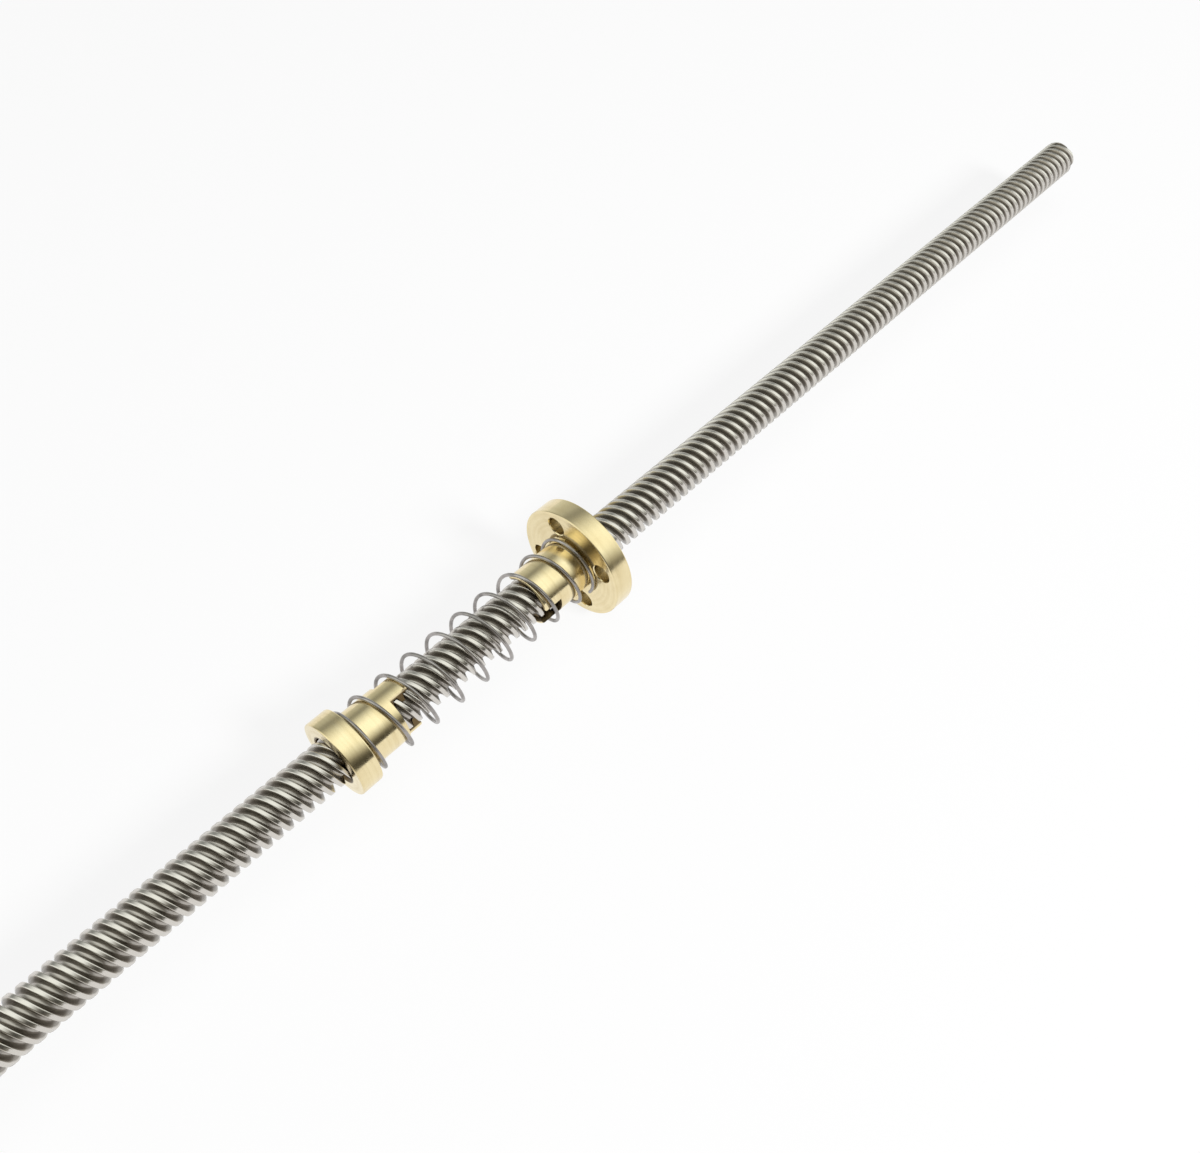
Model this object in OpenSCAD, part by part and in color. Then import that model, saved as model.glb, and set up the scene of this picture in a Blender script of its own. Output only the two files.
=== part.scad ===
// Trapezoidal lead screw with a flange nut, a follower nut and the spring that parts them.
// The screw's axis is the X axis. The origin is the middle of the near end face, and Z is up.
// All sizes are in millimetres and degrees.

/* [Lead screw] */
// Overall length of the screw
screw_length = 300; // [200:5:400]
// Diameter over the thread crests
screw_d = 8; // [7.4:0.1:8.2]
// Distance along the screw from one crest to the next
thread_pitch = 2; // [1.8:0.1:2.4]
// Number of separate threads that wind round the screw side by side
thread_starts = 4; // [3:1:6]
// Radial depth of the thread
thread_depth = 1.25; // [0.9:0.05:1.4]
// Slope of each thread flank from square to the axis
flank_angle = 15; // [10:1:20]
// Chamfer at both ends of the screw
screw_chamfer = 0.8; // [0.4:0.1:1.4]
// Clock angle of the first thread at the near end face
thread_clock = 5; // [0:5:355]

/* [Thread fit] */
// Gap between the crests of the screw and the bottom of the nut thread
crest_gap = 0.35; // [0.3:0.05:0.45]
// Gap between the root of the screw and the crests of the nut thread
root_gap = 0.3; // [0.25:0.05:0.4]
// Gap along the screw between the flanks, on each side of a thread
flank_gap = 0.15; // [0.12:0.01:0.18]

/* [Nut barrels] */
// Diameter of the round barrel of both nuts
barrel_d = 10; // [9.8:0.1:11.4]
// Length of each barrel from its flange to where the coupling starts
barrel_length = 7.4; // [5:0.2:12]
// Length of the tongues of one nut and of the slot in the other
coupling_length = 3.6; // [2:0.2:5]
// Width across the flats of the tongues
tongue_width = 4; // [3.4:0.1:5]
// Gap on each side of the tongues when they stand in the slot
tongue_gap = 0.1; // [0.05:0.05:0.3]
// Chamfer at the mouth of each threaded bore
mouth_chamfer = 0.5; // [0.3:0.1:0.8]
// How far the chamfer at each mouth opens past the bottom of the nut thread
mouth_lip = 0.1; // [0.05:0.05:0.2]
// Broken outer edges of both nuts
edge_break = 0.25; // [0.1:0.05:0.4]

/* [Flange nut] */
// Distance from the near end of the screw to the spring side of the big flange
flange_nut_at = 129; // [90:0.5:180]
// Diameter of the big flange
flange_d = 22; // [21:0.5:30]
// Thickness of the big flange
flange_thick = 4; // [3:0.1:6]
// Number of screw holes in the big flange
bolt_count = 4; // [2:1:6]
// Diameter of each screw hole
bolt_hole_d = 3.5; // [2.5:0.1:3.6]
// Clock angle of the first screw hole
bolt_clock = 66; // [0:1:359]
// Clock angle of the coupling slot
slot_clock = 11; // [0:1:359]

/* [Follower nut] */
// Diameter of the small flange
follower_flange_d = 14; // [13:0.5:20]
// Thickness of the small flange
follower_flange_thick = 4; // [2.5:0.1:6]
// Clock angle of the tongues
tongue_clock = 76; // [0:1:359]

/* [Compression spring] */
// Length of the spring as it stands between the two flanges
spring_length = 49; // [32:0.5:62]
// Diameter of the spring wire
wire_d = 0.65; // [0.5:0.05:1]
// Even gap between the inside of the coils and the barrels, before the spring sinks onto them
coil_gap = 0.5; // [0.35:0.05:0.7]
// Gap left above the barrels, where the spring hangs on them
hang_gap = 0.15; // [0.1:0.05:0.25]
// Number of turns from one wire end to the other
coil_turns = 9.7; // [7:0.1:12]
// Turns at each end that lie flat against a flange
flat_turns = 0.4; // [0.3:0.1:1]
// Clock angle of the wire end at the small flange
wire_clock = 320; // [0:1:359]
// Gap between each end of the spring and the flange it bears on
seat_gap = 0.1; // [0.05:0.05:0.3]

/* [Hidden] */
$fn = 96;
steel = [0.66, 0.65, 0.62];
brass = [0.86, 0.77, 0.50];
spring_steel = [0.55, 0.55, 0.53];
past = 1;

// A trapezoidal crest takes this share of the pitch.
crest_share = 0.366;
lead = thread_pitch * thread_starts;
crest_half = crest_share * thread_pitch / 2;
screw_r = screw_d / 2;
root_r = screw_r - thread_depth;
flank_slope = tan(flank_angle);
screw_steps = 8;
nut_steps = 12;

// The nut thread is the screw thread with the three gaps added.
nut_major_r = screw_r + crest_gap;
nut_minor_r = root_r + root_gap;
barrel_reach = barrel_length + coupling_length;
slot_width = tongue_width + 2 * tongue_gap;
mouth_r = nut_major_r + mouth_lip;

// The screw holes stand midway between the barrel and the rim of the big flange.
bolt_circle_d = (barrel_d + flange_d) / 2;

// The follower nut stands where the spring leaves it.
follower_nut_at = flange_nut_at - spring_length - 2 * seat_gap;
coil_r = barrel_d / 2 + coil_gap + wire_d / 2;

// The spring hangs below the axis of the screw by the rest of its gap.
spring_drop = coil_gap - hang_gap;
flat_pitch = 1.05 * wire_d;
ease_turns = 0.3;
coil_steps = 18;
wire_sides = 6;

// Half width of the thread at a given radius, grown by a gap along the screw.
function thread_half(r, gap) = crest_half + (screw_r - r) * flank_slope + gap;

// One ring of the threads at x: root, crest, crest and root of each start in turn.
function thread_ring(x, crest_r, core_r, gap, limit_r) = [
    for (start = [0 : thread_starts - 1])
    let (middle = thread_clock + 360 * (x / lead + start / thread_starts))
    for (p = [[-1, core_r], [-1, crest_r], [1, crest_r], [1, core_r]])
    let (turn = middle + p[0] * thread_half(p[1], gap) * 360 / lead, r = min(p[1], limit_r))
    [x, r * cos(turn), r * sin(turn)]
];

// Stations along a thread: the ends, the feet of the chamfers and even steps between.
function stations(x0, x1, chamfer, steps) =
    let (inner = x1 - x0 - 2 * chamfer, count = ceil(inner * steps / lead))
    concat(
        chamfer > 0 ? [x0] : [],
        [for (i = [0 : count]) x0 + chamfer + inner * i / count],
        chamfer > 0 ? [x1] : []
    );

// A closed solid between rings of equal length, each pair joined along its shorter diagonal.
module ringed_solid(rings, near_middle, far_middle) {
    n = len(rings[0]);
    last = len(rings) - 1;
    points = concat([for (ring = rings) each ring], [near_middle, far_middle]);
    sides = [
        for (i = [0 : last - 1], j = [0 : n - 1])
        let (a = i * n + j, b = i * n + (j + 1) % n)
        each [[a, a + n, b], [b, a + n, b + n]]
    ];
    near_cap = [for (j = [0 : n - 1]) [(last + 1) * n, j, (j + 1) % n]];
    far_cap = [for (j = [0 : n - 1]) [(last + 1) * n + 1, last * n + (j + 1) % n, last * n + j]];
    polyhedron(points, concat(sides, near_cap, far_cap), convexity = 10);
}

// The screw thread from x0 to x1, in step with the screw wherever it starts.
module thread(x0, x1, crest_r, core_r, gap, chamfer, steps) {
    rings = [
        for (x = stations(x0, x1, chamfer, steps))
        thread_ring(x, crest_r, core_r, gap, crest_r - max(0, chamfer - (x - x0), chamfer - (x1 - x)))
    ];
    ringed_solid(rings, [x0, 0, 0], [x1, 0, 0]);
}

module along_x(x) translate([x, 0, 0]) rotate([0, 90, 0]) children();

// Space that the screw needs inside a nut that runs from x0 to x1, with both mouths opened.
module nut_thread_space(x0, x1) {
    thread(x0 - past, x1 + past, nut_major_r, nut_minor_r, flank_gap, 0, nut_steps);
    bell = mouth_chamfer + past;
    along_x(x0 - past) cylinder(h = bell, r1 = mouth_r + past, r2 = mouth_r - mouth_chamfer);
    along_x(x1 - mouth_chamfer) cylinder(h = bell, r1 = mouth_r - mouth_chamfer, r2 = mouth_r + past);
}

// Turned blank of a nut: its spring seat at x = 0, its barrel towards +X and its flange behind.
module nut_blank(rim_d, thick) {
    rim = rim_d / 2;
    barrel = barrel_d / 2;
    along_x(0) rotate_extrude() polygon([
        [0, -thick],
        [rim - edge_break, -thick],
        [rim, edge_break - thick],
        [rim, -edge_break],
        [rim - edge_break, 0],
        [barrel, 0],
        [barrel, barrel_reach - edge_break],
        [barrel - edge_break, barrel_reach],
        [0, barrel_reach]
    ]);
}

module lead_screw() {
    color(steel) thread(0, screw_length, screw_r, root_r, 0, screw_chamfer, screw_steps);
}

module flange_nut() {
    tip = flange_nut_at - barrel_reach;
    color(brass) difference() {
        translate([flange_nut_at, 0, 0]) mirror([1, 0, 0]) nut_blank(flange_d, flange_thick);
        nut_thread_space(tip, flange_nut_at + flange_thick);
        for (i = [0 : bolt_count - 1]) {
            rotate([bolt_clock + i * 360 / bolt_count, 0, 0])
                translate([0, bolt_circle_d / 2, 0])
                along_x(flange_nut_at - past) cylinder(h = flange_thick + 2 * past, d = bolt_hole_d);
        }
        rotate([slot_clock, 0, 0])
            translate([tip - past, -barrel_d, -slot_width / 2])
            cube([coupling_length + past, 2 * barrel_d, slot_width]);
    }
}

module follower_nut() {
    back = follower_nut_at - follower_flange_thick;
    color(brass) difference() {
        translate([follower_nut_at, 0, 0]) nut_blank(follower_flange_d, follower_flange_thick);
        nut_thread_space(back, follower_nut_at + barrel_reach);
        for (side = [0, 180]) {
            rotate([tongue_clock + side, 0, 0])
                translate([follower_nut_at + barrel_length, -barrel_d, tongue_width / 2])
                cube([coupling_length + past, 2 * barrel_d, barrel_d]);
        }
    }
}

// Turns of even pitch that ease in from the flat end, counted from where the easing starts.
function eased(t) = t < 0 ? 0 : t < ease_turns ? t * t / (2 * ease_turns) : t - ease_turns / 2;
function eased_rate(t) = t < 0 ? 0 : min(1, t / ease_turns);

module compression_spring() {
    run = spring_length - wire_d;
    rest = coil_turns - flat_turns - ease_turns;
    pitch_gain = (run - flat_pitch * coil_turns) / (rest - flat_turns);
    first = follower_nut_at + seat_gap + wire_d / 2;
    count = ceil(coil_turns * coil_steps);
    middles = [
        for (i = [0 : count])
        let (t = coil_turns * i / count)
        [
            first + flat_pitch * t + pitch_gain * (eased(t - flat_turns) - eased(t - rest)),
            wire_clock + 360 * t,
            atan((flat_pitch + pitch_gain * (eased_rate(t - flat_turns) - eased_rate(t - rest)))
                / (2 * PI * coil_r))
        ]
    ];
    rings = [
        for (m = middles) [
            for (j = [wire_sides : -1 : 1])
            let (
                a = 360 * j / wire_sides,
                out = coil_r + wire_d / 2 * cos(a),
                up = wire_d / 2 * sin(a)
            )
            [
                m[0] + up * cos(m[2]),
                out * cos(m[1]) + up * sin(m[2]) * sin(m[1]),
                out * sin(m[1]) - up * sin(m[2]) * cos(m[1])
            ]
        ]
    ];
    function middle_of(m) = [m[0], coil_r * cos(m[1]), coil_r * sin(m[1])];
    color(spring_steel)
        translate([0, 0, -spring_drop])
        ringed_solid(rings, middle_of(middles[0]), middle_of(middles[count]));
}

lead_screw();
flange_nut();
follower_nut();
compression_spring();
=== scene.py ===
import math

import bpy
from mathutils import Matrix, Vector


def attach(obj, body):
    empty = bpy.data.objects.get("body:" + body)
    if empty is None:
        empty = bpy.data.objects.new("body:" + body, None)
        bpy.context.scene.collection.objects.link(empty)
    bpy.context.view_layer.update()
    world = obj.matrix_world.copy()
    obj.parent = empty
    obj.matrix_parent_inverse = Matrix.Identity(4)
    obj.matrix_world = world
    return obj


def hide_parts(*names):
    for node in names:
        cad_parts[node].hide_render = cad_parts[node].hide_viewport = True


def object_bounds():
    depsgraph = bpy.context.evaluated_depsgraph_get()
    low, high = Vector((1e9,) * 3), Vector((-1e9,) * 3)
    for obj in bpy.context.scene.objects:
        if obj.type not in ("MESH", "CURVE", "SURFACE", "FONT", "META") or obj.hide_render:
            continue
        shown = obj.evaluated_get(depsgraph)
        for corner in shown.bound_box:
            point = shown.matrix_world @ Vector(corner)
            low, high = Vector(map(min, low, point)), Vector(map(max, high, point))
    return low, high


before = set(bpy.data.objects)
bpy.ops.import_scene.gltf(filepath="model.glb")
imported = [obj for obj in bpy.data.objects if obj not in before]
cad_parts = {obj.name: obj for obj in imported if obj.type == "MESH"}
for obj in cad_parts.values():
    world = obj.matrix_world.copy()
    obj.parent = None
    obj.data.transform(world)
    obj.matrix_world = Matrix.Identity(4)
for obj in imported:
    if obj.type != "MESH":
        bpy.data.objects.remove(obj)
cadLow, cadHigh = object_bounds()

mm = 0.001  # the pieces are worked out in millimetres, as they are drawn


# Shader maths: a Wire is one socket of a tree, and adding or multiplying Wires adds Math nodes.
class Wire:
    def __init__(self, tree, socket=None):
        self.tree = tree
        self.socket = socket

    # Any node: its type, its settings first, then the values or links of its sockets.
    def node(self, kind, settings=None, sockets=None, out=0):
        made = self.tree.nodes.new("ShaderNode" + kind)
        for name, value in (settings or {}).items():
            if name == "stops":
                self.setStops(made.color_ramp, value)
            else:
                setattr(made, name, value)
        for name, value in (sockets or {}).items():
            if isinstance(value, Wire):
                self.tree.links.new(value.socket, made.inputs[name])
            else:
                made.inputs[name].default_value = value
        return Wire(self.tree, made.outputs[out] if len(made.outputs) else None)

    # Another output of the node that this wire comes from.
    def beside(self, name):
        return Wire(self.tree, self.socket.node.outputs[name])

    def setStops(self, ramp, stops):
        while len(ramp.elements) < len(stops):
            ramp.elements.new(1.0)
        for element, (place, shade) in zip(ramp.elements, stops):
            element.position = place
            element.color = (shade, shade, shade, 1)

    def maths(self, operation, *values):
        return self.node("Math", {"operation": operation}, dict(enumerate(values)))

    def __add__(self, other):
        return self.maths("ADD", self, other)

    def __sub__(self, other):
        return self.maths("SUBTRACT", self, other)

    def __rsub__(self, other):
        return self.maths("SUBTRACT", other, self)

    def __mul__(self, other):
        return self.maths("MULTIPLY", self, other)

    __radd__ = __add__
    __rmul__ = __mul__


def newMaterial(name):
    material = bpy.data.materials.new(name)
    material.use_nodes = True
    material.node_tree.nodes.clear()
    return material, Wire(material.node_tree)


# The colour sockets of a Mix node go by number: factor 0, colours 6 and 7, result 2.
def mixColour(wire, factor, first, second, blend="MIX"):
    settings = {"data_type": "RGBA", "blend_type": blend}
    return wire.node("Mix", settings, {0: factor, 6: first, 7: second}, out=2)


# The place on a piece, then its distance along the screw and from the screw's axis in millimetres.
def turnedPlace(wire):
    place = wire.node("TexCoord", out="Object")
    x = wire.node("SeparateXYZ", {}, {"Vector": place})
    y, z = x.beside("Y"), x.beside("Z")
    radius = wire.maths("SQRT", y * y + z * z) * (1 / mm)
    return place, x * (1 / mm), radius


def lineNoise(wire, value, scale, detail=2.0):
    return wire.node("TexNoise", {"noise_dimensions": "1D"}, {"W": value, "Scale": scale, "Detail": detail})


def cloudNoise(wire, place, scale, detail=3.0):
    return wire.node("TexNoise", {}, {"Vector": place, "Scale": scale, "Detail": detail})


def ramp(wire, value, *stops):
    return wire.node("ValToRGB", {"stops": stops}, {"Fac": value})


# None at start and before it, one at end and beyond, with a soft change between them.
def smoothStep(wire, value, start, end):
    settings = {"interpolation_type": "SMOOTHSTEP"}
    return wire.node("MapRange", settings, {"Value": value, "From Min": start, "From Max": end})


def between(wire, value, low, high, soft):
    return smoothStep(wire, value, low - soft, low) * smoothStep(wire, value, high + soft, high)


# A mesh object from points in millimetres, smooth except across edges sharper than the angle.
def meshPiece(name, points, faces, material=None, sharpFrom=32):
    mesh = bpy.data.meshes.new(name)
    mesh.from_pydata([Vector(p) * mm for p in points], [], faces)
    mesh.validate()
    piece = bpy.data.objects.new(name, mesh)
    bpy.context.scene.collection.objects.link(piece)
    if material:
        mesh.materials.append(material)
    smoothen(mesh, sharpFrom)
    return piece


def smoothen(mesh, sharpFrom):
    mesh.polygons.foreach_set("use_smooth", [True] * len(mesh.polygons))
    mesh.set_sharp_from_angle(angle=math.radians(sharpFrom))
    mesh.update()


# Large flat faces keep their own direction, so that only the rounded edges shade as round.
def holdFlats(piece):
    weigh = piece.modifiers.new("holdFlats", "WEIGHTED_NORMAL")
    weigh.mode = "FACE_AREA"
    weigh.weight = 60
    weigh.keep_sharp = True


# Closed skin over rings of equal length, with a point in the middle of each end.
def skinOver(rings, nearMiddle, farMiddle):
    count = len(rings[0])
    points = [p for ring in rings for p in ring] + [nearMiddle, farMiddle]
    faces = []
    for i in range(len(rings) - 1):
        for j in range(count):
            a, b = i * count + j, i * count + (j + 1) % count
            faces.append((a, b, b + count, a + count))
    last = (len(rings) - 1) * count
    near, far = len(points) - 2, len(points) - 1
    for j in range(count):
        faces.append((near, (j + 1) % count, j))
        faces.append((far, last + j, last + (j + 1) % count))
    return points, faces


thread = dict(
    length=(cadHigh.x - cadLow.x) / mm,
    crest=4.0,
    root=2.75,
    pitch=2.0,
    starts=4,
    crestShare=0.366,    # of the pitch
    flank=math.radians(15),
    clock=5.0,
    crestRound=0.10,
    rootRound=0.16,
    chamfer=0.8,
    chamferSteps=(0, 0.03, 0.1, 0.25, 0.4, 0.55, 0.7),   # distances from an end at which its rings lie
    endBreak=(0.03, 0.05),   # within this distance of an end the chamfer is this much deeper
    stepsPerTurn=40,
)


# Half of one thread's outline, from the middle of the crest to the middle of the root: pairs of
# distance along the screw and radius, with the crest edge and the root foot rounded.
def threadHalf(s, crest, root, grow=0.0):
    slope = math.tan(s["flank"])
    halfCrest = s["crestShare"] * s["pitch"] / 2 + grow
    edge = halfCrest + (s["crest"] - crest) * slope
    foot = halfCrest + (s["crest"] - root) * slope
    turn = math.pi / 2 - s["flank"]
    points = [(0.0, crest), (edge / 2, crest)]
    points += corner(edge, crest, s["crestRound"], turn, 1)
    points += corner(foot, root, s["rootRound"], turn, -1)
    points += [(s["pitch"] / 2, root)]
    return points


# Three points round a corner where level ground meets a flank that falls away by the angle turn.
def corner(x, r, radius, turn, side):
    start = x - side * radius * math.tan(turn / 2)
    points = []
    for share in (0, 0.5, 1):
        bend = turn * share
        points.append((start + side * radius * math.sin(bend), r - side * radius * (1 - math.cos(bend))))
    return points if side > 0 else points[::-1]


# The section of the threads at x, cut off at the radius limit.
def threadRing(s, x, half, limit):
    lead = s["pitch"] * s["starts"]
    outline = [(-d, r) for d, r in half[:0:-1]] + half[:-1]
    ring = []
    for start in range(s["starts"]):
        middle = s["clock"] + 360 * (x / lead + start / s["starts"])
        for d, r in outline:
            turn = math.radians(middle + d * 360 / lead)
            reach = min(r, limit)
            ring.append((x, reach * math.cos(turn), reach * math.sin(turn)))
    return ring


# Where the screw's rings lie: close together on the two chamfers, evenly between them.
def threadStations(s):
    inner = s["length"] - 2 * s["chamfer"]
    count = math.ceil(inner * s["stepsPerTurn"] / (s["pitch"] * s["starts"]))
    middle = [s["chamfer"] + inner * i / count for i in range(count + 1)]
    return list(s["chamferSteps"]) + middle + [s["length"] - d for d in s["chamferSteps"][::-1]]


screwSteel = dict(
    crest=(0.66, 0.63, 0.585, 1),
    # roots: darker partly from oxide, partly as painted shade in the grooves
    root=(0.49, 0.46, 0.42, 1),
    # flanks: a dark tone that is painted shade
    flank=(0.17, 0.15, 0.125, 1),
    flankShadeShare=0.7,
    rootRadius=2.85,
    crestRadius=3.9,
    roughness=(0.18, 0.36),
    smears=420.0,
    grain=5200.0,
    markDepth=0.002 * mm,
)


# Rolled stainless: crests rubbed bright, flanks and roots duller and browner. The darker roots are partly
# oxide and partly painted shade in the grooves; the dark flanks are painted shade.
def screwMaterial(s):
    material, wire = newMaterial("rolledStainless")
    place, along, radius = turnedPlace(wire)
    reach = 1 / (s["crestRadius"] - s["rootRadius"])
    height = wire.node("Clamp", {}, {"Value": (radius - s["rootRadius"]) * reach})
    smears = cloudNoise(wire, place, s["smears"])
    # bright rubbed crests against roots darkened partly by oxide and partly by painted shade
    crestRubAndRootShade = ramp(wire, height + smears * 0.3 - 0.15, (0.10, 0.0), (0.85, 1.0))
    # where the flanks lie, which takes the painted shade
    flank = ramp(wire, height, (0.02, 0.0), (0.2, 1.0), (0.7, 1.0), (0.95, 0.0))
    low, high = s["roughness"]
    ground = mixColour(wire, crestRubAndRootShade, s["root"], s["crest"])
    wire.node("OutputMaterial", {}, {"Surface": wire.node("BsdfPrincipled", {}, {
        "Base Color": mixColour(wire, flank * s["flankShadeShare"], ground, s["flank"]),
        "Metallic": 1.0,
        "Roughness": (1 - crestRubAndRootShade) * (high - low) + smears * 0.06 + low,
        "Normal": wire.node("Bump", {}, {
            "Strength": 0.35,
            "Distance": s["markDepth"],
            "Height": cloudNoise(wire, place, s["grain"], 2.0),
        }),
    })})
    return material


def makeScrew(s, material):
    half = threadHalf(s, s["crest"], s["root"])
    breakReach, breakDepth = s["endBreak"]
    rings = []
    for x in threadStations(s):
        fromEnd = min(x, s["length"] - x)
        limit = s["crest"] - max(0, s["chamfer"] - fromEnd)
        if fromEnd < breakReach:
            limit -= breakDepth
        rings.append(threadRing(s, x, half, limit))
    points, faces = skinOver(rings, (0, 0, 0), (s["length"], 0, 0))
    piece = meshPiece("screw", points, faces, material, 40)
    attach(piece, "screw")
    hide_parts("lead_screw")


# What the two nuts share.
nuts = dict(
    barrel=5.0,
    edge=0.25,             # the rounding of every outer edge
    fillet=(0.15, 0.04),   # at the foot of the flange: its reach and the place of its middle point
    coupling=3.6,          # length of the tongues and depth of the slot
    tongue=4.0,
    slot=4.2,
    mouth=0.5,             # depth of the chamfer at each mouth of the bore
    lip=0.1,               # how far the mouth is wider than the thread
    sections=160,
    toolReach=1.0,         # how far a cutting tool reaches past the metal
    toolHalf=9.0,          # half the width of a tool that cuts right across
)

nutThread = dict(
    thread,
    nutCrest=4.35,
    nutRoot=3.05,
    grow=0.15,
    crestRound=0.06,
    rootRound=0.06,
    stepsPerTurn=24,
)


# A ring of points round the axis at x.
def roundRing(x, r, count):
    turns = [2 * math.pi * i / count for i in range(count)]
    return [(x, r * math.cos(turn), r * math.sin(turn)) for turn in turns]


def turned(name, profile, count):
    rings = [roundRing(x, r, count) for x, r in profile]
    points, faces = skinOver(rings, (profile[0][0], 0, 0), (profile[-1][0], 0, 0))
    return meshPiece(name, points, faces)


# The rounded corner of a turned profile that starts at x and reaches the radius r.
def rounded(x, r):
    edge = nuts["edge"]
    return [(x, r - edge), (x + edge * 0.3, r - edge * 0.3), (x + edge, r)]


# The same profile the other way round, where start and end are the two places that change over.
def flipped(profile, start, end):
    return [(start + end - x, r) for x, r in profile[::-1]]


# Where the barrel runs into the face of its flange at seat.
def foot(seat):
    reach, middle = nuts["fillet"]
    r = nuts["barrel"]
    return [(seat - reach, r), (seat - middle, r + middle), (seat, r + reach)]


def cutWith(piece, tool):
    change = piece.modifiers.new("cut", "BOOLEAN")
    change.operation = "DIFFERENCE"
    change.solver = "EXACT"
    change.object = tool
    bpy.context.view_layer.update()
    evaluated = piece.evaluated_get(bpy.context.evaluated_depsgraph_get())
    mesh = bpy.data.meshes.new_from_object(evaluated)
    piece.modifiers.clear()
    old = piece.data
    piece.data = mesh
    bpy.data.meshes.remove(old)
    bpy.data.objects.remove(tool)


# The room that the screw's thread needs in a nut, as a cutting tool.
def threadTool(s, x0, x1):
    half = threadHalf(s, s["nutCrest"], s["nutRoot"], s["grow"])
    count = math.ceil((x1 - x0) * s["stepsPerTurn"] / (s["pitch"] * s["starts"]))
    stations = [x0 + (x1 - x0) * i / count for i in range(count + 1)]
    rings = [threadRing(s, x, half, s["nutCrest"]) for x in stations]
    points, faces = skinOver(rings, (x0, 0, 0), (x1, 0, 0))
    return meshPiece("threadTool", points, faces)


# A cone that opens the mouth of the bore at x, on the side where it leaves the nut.
def mouthTool(x, side):
    r, depth, reach = nutThread["nutCrest"] + nuts["lip"], nuts["mouth"], nuts["toolReach"]
    profile = [(x - side * depth, r - depth), (x, r), (x + side * reach, r + reach)]
    return turned("mouthTool", profile if side > 0 else profile[::-1], 96)


# A screw hole with a small chamfer at each end, at the given place round the flange.
def drillTool(s, clock):
    r, chamfer, reach = s["hole"], s["holeChamfer"], nuts["toolReach"]
    half = [(s["seat"] - reach, r + chamfer + reach), (s["seat"], r + chamfer), (s["seat"] + chamfer, r)]
    tool = turned("drill", half + flipped(half, s["seat"], s["back"]), 40)
    turn = math.radians(clock)
    circle = s["holeCircle"]
    shift = Vector((0, circle * math.cos(turn), circle * math.sin(turn))) * mm
    tool.data.transform(Matrix.Translation(shift))
    return tool


# A box between two corners, turned round the screw's axis by the angle clock.
def boxTool(low, high, clock):
    turn = math.radians(clock)
    over, up = math.cos(turn), math.sin(turn)
    spanX, spanY, spanZ = zip(low, high)
    points = [(x, y * over - z * up, y * up + z * over) for x in spanX for y in spanY for z in spanZ]
    faces = [(0, 1, 3, 2), (4, 6, 7, 5), (0, 4, 5, 1), (2, 3, 7, 6), (0, 2, 6, 4), (1, 5, 7, 3)]
    return meshPiece("boxTool", points, faces)


def finishNut(piece, x0, x1, material):
    cutWith(piece, threadTool(nutThread, x0 - nuts["toolReach"], x1 + nuts["toolReach"]))
    cutWith(piece, mouthTool(x0, -1))
    cutWith(piece, mouthTool(x1, 1))
    piece.data.materials.clear()
    piece.data.materials.append(material)
    smoothen(piece.data, 32)
    holdFlats(piece)


flangeNut = dict(
    seat=129.0,
    back=133.0,
    tip=118.0,
    rim=11.0,
    holes=4,
    holeCircle=8.0,
    hole=1.75,
    holeChamfer=0.15,
    holeClock=66.0,
    slotClock=11.0,
)


def makeFlangeNut(s, material):
    rim = rounded(s["seat"], s["rim"])
    profile = rounded(s["tip"], nuts["barrel"]) + foot(s["seat"]) + rim + flipped(rim, s["seat"], s["back"])
    piece = turned("flangeNut", profile, nuts["sections"])
    for i in range(s["holes"]):
        cutWith(piece, drillTool(s, s["holeClock"] + 360 * i / s["holes"]))
    half, wide = nuts["slot"] / 2, nuts["toolHalf"]
    near, far = s["tip"] - nuts["toolReach"], s["tip"] + nuts["coupling"]
    cutWith(piece, boxTool((near, -wide, -half), (far, wide, half), s["slotClock"]))
    finishNut(piece, s["tip"], s["back"], material)
    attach(piece, "big_nut")
    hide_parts("flange_nut")


followerNut = dict(
    back=75.8,
    seat=79.8,
    tip=90.8,
    rim=7.0,
    tongueClock=76.0,
)


def makeFollowerNut(s, material):
    rim = rounded(s["back"], s["rim"])
    profile = rim + flipped(rim, s["back"], s["seat"]) + flipped(foot(s["seat"]), s["seat"], s["seat"])
    profile += flipped(rounded(0, nuts["barrel"]), 0, s["tip"])
    piece = turned("followerNut", profile, nuts["sections"])
    half, wide = nuts["tongue"] / 2, nuts["toolHalf"]
    near, far = s["tip"] - nuts["coupling"], s["tip"] + nuts["toolReach"]
    for side in (0, 180):
        cutWith(piece, boxTool((near, -wide, half), (far, wide, half + wide), s["tongueClock"] + side))
    finishNut(piece, s["back"], s["tip"], material)
    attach(piece, "small_nut")
    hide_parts("follower_nut")


brass = dict(
    bright=(0.87, 0.745, 0.46, 1),
    dull=(0.73, 0.595, 0.33, 1),
    paintedShadeTone=(0.16, 0.11, 0.05, 1),   # painted shade in the bores
    boreEdge=(4.75, 4.45),          # radii between which the painted shade sets in
    holeShade=0.45,                 # how strong it is on the walls of the screw holes
    holeMargins=(0.05, 0.4, 0.3),   # beyond those walls, behind the flange's face, before its back
    slotShade=0.85,                 # how strong it is on the walls and floor of the slot
    slotMargins=(0.1, 0.05),        # before the barrel's tip, beyond the slot's floor
    slotEdge=(0.1, 0.02),           # beyond the slot's walls, where the shade sets in and is full
    roughness=(0.10, 0.21),
    feedMarks=9.0,                  # turning marks in each millimetre
    waviness=1.1,                   # slow bands in each millimetre
    smears=260.0,
    markDepth=0.0035 * mm,
)
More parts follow.
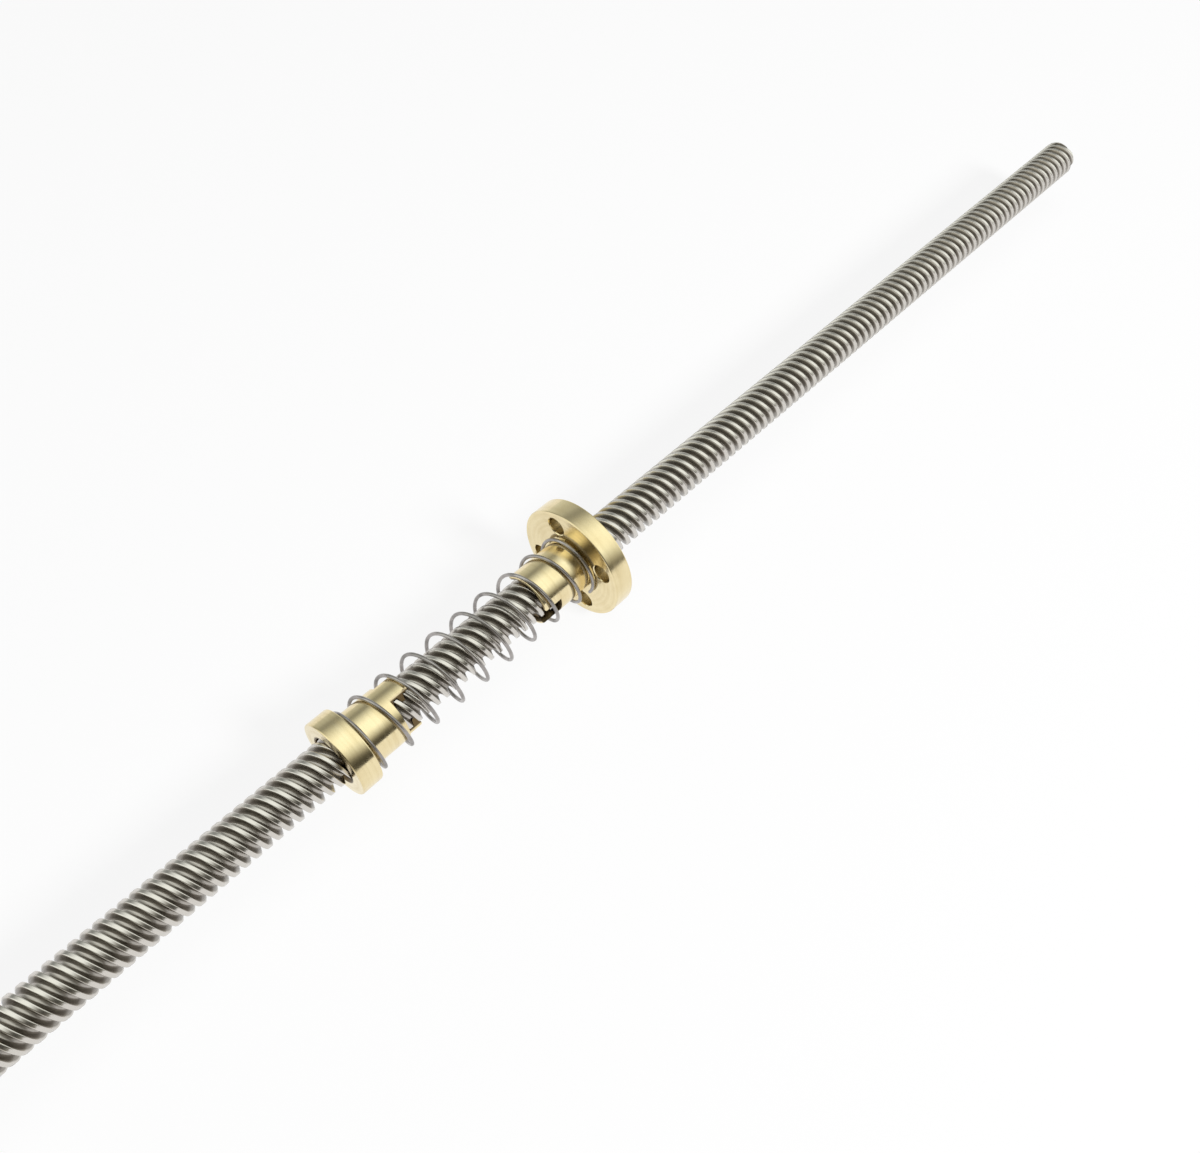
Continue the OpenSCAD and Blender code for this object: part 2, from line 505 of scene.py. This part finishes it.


# How much painted shade a place gets: all of it in the bores, less on the walls of the screw holes and the
# slot.
def paintedShadeMask(wire, s, nut, place, along, radius):
    bore = smoothStep(wire, radius, *s["boreEdge"])
    past, front, back = s["holeMargins"]
    reach = nut["hole"] + past
    hole = between(wire, radius, nut["holeCircle"] - reach, nut["holeCircle"] + reach, 0.15)
    hole *= between(wire, along, nut["seat"] + front, nut["back"] - back, 0.15)
    before, past = s["slotMargins"]
    slot = between(wire, along, nut["tip"] - before, nut["tip"] + nuts["coupling"] + past, 0.05)
    turn = math.radians(nut["slotClock"])
    upright = (0, -math.sin(turn), math.cos(turn))
    across = wire.node("VectorMath", {"operation": "DOT_PRODUCT"}, {0: place, 1: upright}, out="Value")
    across = wire.maths("ABSOLUTE", across) * (1 / mm)
    slot *= smoothStep(wire, across, *[nuts["slot"] / 2 + edge for edge in s["slotEdge"]])
    walls = wire.maths("MAXIMUM", hole * s["holeShade"], slot * s["slotShade"])
    return wire.maths("MAXIMUM", bore, walls)


# Turned brass: rings left by the tool on barrels and faces, with slow bands and faint handling marks, and
# painted shade in the bores, the screw holes and the slot.
def brassMaterial(s, nut):
    material, wire = newMaterial("turnedBrass")
    place, along, radius = turnedPlace(wire)
    ring = along + radius
    marks = lineNoise(wire, ring, s["feedMarks"])
    bands = lineNoise(wire, ring, s["waviness"], 1.0)
    smears = cloudNoise(wire, place, s["smears"])
    dulled = ramp(wire, smears * 0.6 + bands * 0.4, (0.40, 0.0), (0.68, 1.0))
    # Painted shade: a dark tone over the bores, the walls of the screw holes and the slot.
    paintedShadeShare = paintedShadeMask(wire, s, nut, place, along, radius)
    low, high = s["roughness"]
    turnedTone = mixColour(wire, dulled * 0.7, s["bright"], s["dull"])
    wire.node("OutputMaterial", {}, {"Surface": wire.node("BsdfPrincipled", {}, {
        "Base Color": mixColour(wire, paintedShadeShare, turnedTone, s["paintedShadeTone"]),
        "Metallic": 1.0,
        "Roughness": dulled * (high - low) + marks * 0.08 + low + paintedShadeShare * 0.2,
        "Normal": wire.node("Bump", {}, {
            "Strength": 0.5,
            "Distance": s["markDepth"],
            "Height": marks + bands * 0.5,
        }),
    })})
    return material


springSteel = dict(
    bright=(0.43, 0.405, 0.39, 1),
    dull=(0.25, 0.235, 0.225, 1),
    roughness=(0.22, 0.38),
    smears=350.0,
    drawMarks=3000.0,
    markDepth=0.0015 * mm,
)


# Drawn spring wire: grey with a slight unevenness of tone.
def springMaterial(s):
    material, wire = newMaterial("drawnWire")
    place = wire.node("TexCoord", out="Object")
    dulled = ramp(wire, cloudNoise(wire, place, s["smears"]), (0.35, 0.0), (0.7, 1.0))
    low, high = s["roughness"]
    wire.node("OutputMaterial", {}, {"Surface": wire.node("BsdfPrincipled", {}, {
        "Base Color": mixColour(wire, dulled, s["bright"], s["dull"]),
        "Metallic": 1.0,
        "Roughness": dulled * (high - low) + low,
        "Normal": wire.node("Bump", {}, {
            "Strength": 0.3,
            "Distance": s["markDepth"],
            "Height": cloudNoise(wire, place, s["drawMarks"]),
        }),
    })})
    return material


spring = dict(
    start=79.9,
    length=49.0,
    wire=0.65,
    radius=5.825,
    drop=0.35,           # how far it hangs below the screw's axis
    turns=9.7,
    flatTurns=0.4,       # closed turns at each end
    easeTurns=0.3,       # turns over which it opens
    flatPitch=1.05,      # pitch of the closed turns, in wires
    endShare=0.86,       # size of the cut ends
    clock=320.0,
    sides=16,
    stepsPerTurn=72,
)


# How far a slope has risen after t turns, when it starts softly over the turns of ease.
def easedTurn(t, ease):
    if t < 0:
        return 0.0
    return t * t / (2 * ease) if t < ease else t - ease / 2


def springMiddle(s, t):
    flat = s["flatPitch"] * s["wire"]
    rest = s["turns"] - s["flatTurns"] - s["easeTurns"]
    gain = (s["length"] - s["wire"] - flat * s["turns"]) / (rest - s["flatTurns"])
    lift = easedTurn(t - s["flatTurns"], s["easeTurns"]) - easedTurn(t - rest, s["easeTurns"])
    turn = math.radians(s["clock"] + 360 * t)
    x = s["start"] + s["wire"] / 2 + flat * t + gain * lift
    return Vector((x, s["radius"] * math.cos(turn), s["radius"] * math.sin(turn) - s["drop"]))


def springRing(s, t, r):
    near = 0.001
    middle = springMiddle(s, t)
    ahead = (springMiddle(s, t + near) - springMiddle(s, t - near)).normalized()
    out = Vector((0, middle.y, middle.z + s["drop"])).normalized()
    side = ahead.cross(out)
    turns = [2 * math.pi * j / s["sides"] for j in range(s["sides"])]
    return [middle + out * (r * math.cos(turn)) + side * (r * math.sin(turn)) for turn in turns]


def makeSpring(s, material):
    count = math.ceil(s["turns"] * s["stepsPerTurn"])
    rings = []
    for i in range(count + 1):
        share = s["endShare"] if i in (0, count) else 1
        rings.append(springRing(s, s["turns"] * i / count, s["wire"] / 2 * share))
    points, faces = skinOver(rings, springMiddle(s, 0), springMiddle(s, s["turns"]))
    piece = meshPiece("spring", points, faces, material, 40)
    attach(piece, "spring")
    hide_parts("compression_spring")


camera = dict(
    place=(0.03828, -0.09090, 0.16051),
    tilt=38.0,        # degrees up from straight down
    turn=-47.25,
    lens=35.13,
)


def makeCamera(s):
    data = bpy.data.cameras.new("camera")
    data.lens = s["lens"]
    data.sensor_width = 36
    data.clip_start = 0.01
    view = bpy.data.objects.new("camera", data)
    view.location = s["place"]
    view.rotation_euler = (math.radians(s["tilt"]), 0, math.radians(s["turn"]))
    bpy.context.scene.collection.objects.link(view)
    bpy.context.scene.camera = view


floor = dict(
    size=6.0,                  # metres
    colour=(0.90, 0.90, 0.90, 1),
    shown=(0.985, 0.985, 0.985, 1),
    shownShare=0.89,           # the rest is lit by the lamps and holds the shadow
    shadowReach=(0.35, 0.8),   # metres from the middle of the screw over which the rest fades out
)


def makeFloor(s, height, middle):
    material, wire = newMaterial("paleFloor")
    direct = wire.node("LightPath", out="Is Camera Ray")
    seen = direct + direct.beside("Is Glossy Ray") + direct.beside("Is Transmission Ray")
    place = wire.node("TexCoord", out="Object")
    place = wire.node("VectorMath", {"operation": "SUBTRACT"}, {0: place, 1: (middle, 0, 0)})
    away = wire.node("VectorMath", {"operation": "LENGTH"}, {0: place}, out="Value")
    share = smoothStep(wire, away, *s["shadowReach"]) * (1 - s["shownShare"]) + s["shownShare"]
    wire.node("OutputMaterial", {}, {"Surface": wire.node("MixShader", {}, {
        0: wire.maths("MINIMUM", seen, 1.0) * share,
        1: wire.node("BsdfDiffuse", {}, {"Color": s["colour"]}),
        2: wire.node("Emission", {}, {"Color": s["shown"], "Strength": 1.0}),
    })})
    half, z = s["size"] / 2 / mm, height / mm
    corners = [(-half, -half, z), (half, -half, z), (half, half, z), (-half, half, z)]
    meshPiece("floor", corners, [(0, 1, 2, 3)], material)


studio = dict(
    strength=1.6,
    shown=floor["shown"],
    lean=72.0,           # degrees by which the band is turned for a ray straight along the screw
    # directions round the screw, in degrees from the back over the top to the front, and their tones
    band=[
        (-60, 0.49), (-25, 0.44), (-6, 0.36), (6, 0.30), (14, 0.19), (24, 0.18), (32, 0.30), (42, 0.46),
        (54, 0.64), (64, 0.76), (74, 0.82), (84, 0.80), (98, 0.82), (106, 0.76), (116, 0.56), (126, 0.36),
        (136, 0.14), (144, 0.06), (153, 0.04), (162, 0.04), (172, 0.07), (184, 0.18), (210, 0.40),
    ],
    bandSpan=(-75, 225),   # the directions at the two ends of the ramp that holds the tones
    coolBack=(0.97, 1.0, 0.95, 1),
    warmFront=(1.06, 1.0, 0.84, 1),
    warmFrom=(110.0, 150.0),   # directions between which the cool tint turns warm
    lamps=[
        # name, place, aim, size, watts
        ("frontBox", (0.24, -0.80, 0.62), (0.14, 0.0, 0.0), 0.25, 12.2),
        ("topBox", (0.16, 0.0, 0.85), (0.14, 0.0, 0.0), 0.9, 3.7),
    ],
)


# The room that the metals mirror: a bright band overhead that falls off to a dark front.
# The camera sees it as plain as the floor.
def makeRoom(s):
    world = bpy.data.worlds.new("studio")
    bpy.context.scene.world = world
    world.use_nodes = True
    world.cycles_visibility.diffuse = False
    world.node_tree.nodes.clear()
    wire = Wire(world.node_tree)
    along = wire.node("SeparateXYZ", {}, {"Vector": wire.node("TexCoord", out="Generated")})
    clock = wire.maths("ARCTAN2", along.beside("Z"), along.beside("Y")) * (180 / math.pi)
    clock = clock - along * s["lean"]
    low, high = s["bandSpan"]
    stops = [((turn - low) / (high - low), shade) for turn, shade in s["band"]]
    tone = ramp(wire, (clock - low) * (1 / (high - low)), *stops)
    tint = mixColour(wire, smoothStep(wire, clock, *s["warmFrom"]), s["coolBack"], s["warmFront"])
    colour = mixColour(wire, 1.0, tint, tone, "MULTIPLY")
    direct = wire.node("LightPath", out="Is Camera Ray")
    wire.node("OutputWorld", {}, {"Surface": wire.node("MixShader", {}, {
        0: wire.maths("MINIMUM", direct + direct.beside("Is Transmission Ray"), 1.0),
        1: wire.node("Background", {}, {"Color": colour, "Strength": s["strength"]}),
        2: wire.node("Background", {}, {"Color": s["shown"], "Strength": 1.0}),
    })})


# The lamps light the floor and give the shadow, and the metals mirror the room in their stead.
def makeLamps(s):
    for name, place, aim, size, watts in s["lamps"]:
        lamp = bpy.data.lights.new(name, "AREA")
        lamp.shape = "SQUARE"
        lamp.size = size
        lamp.energy = watts
        light = bpy.data.objects.new(name, lamp)
        light.location = place
        light.rotation_euler = (Vector(aim) - Vector(place)).to_track_quat("-Z", "Y").to_euler()
        light.visible_glossy = False
        bpy.context.scene.collection.objects.link(light)


makeCamera(camera)
print("camera set")
makeScrew(thread, screwMaterial(screwSteel))
print("screw made")
turnedBrass = brassMaterial(brass, flangeNut)
makeFlangeNut(flangeNut, turnedBrass)
makeFollowerNut(followerNut, turnedBrass)
print("nuts made")
makeSpring(spring, springMaterial(springSteel))
print("spring made")
makeFloor(floor, cadLow.z, (cadLow.x + cadHigh.x) / 2)
makeRoom(studio)
makeLamps(studio)
print("floor and lamps set")

bpy.context.scene.view_settings.view_transform = "Standard"
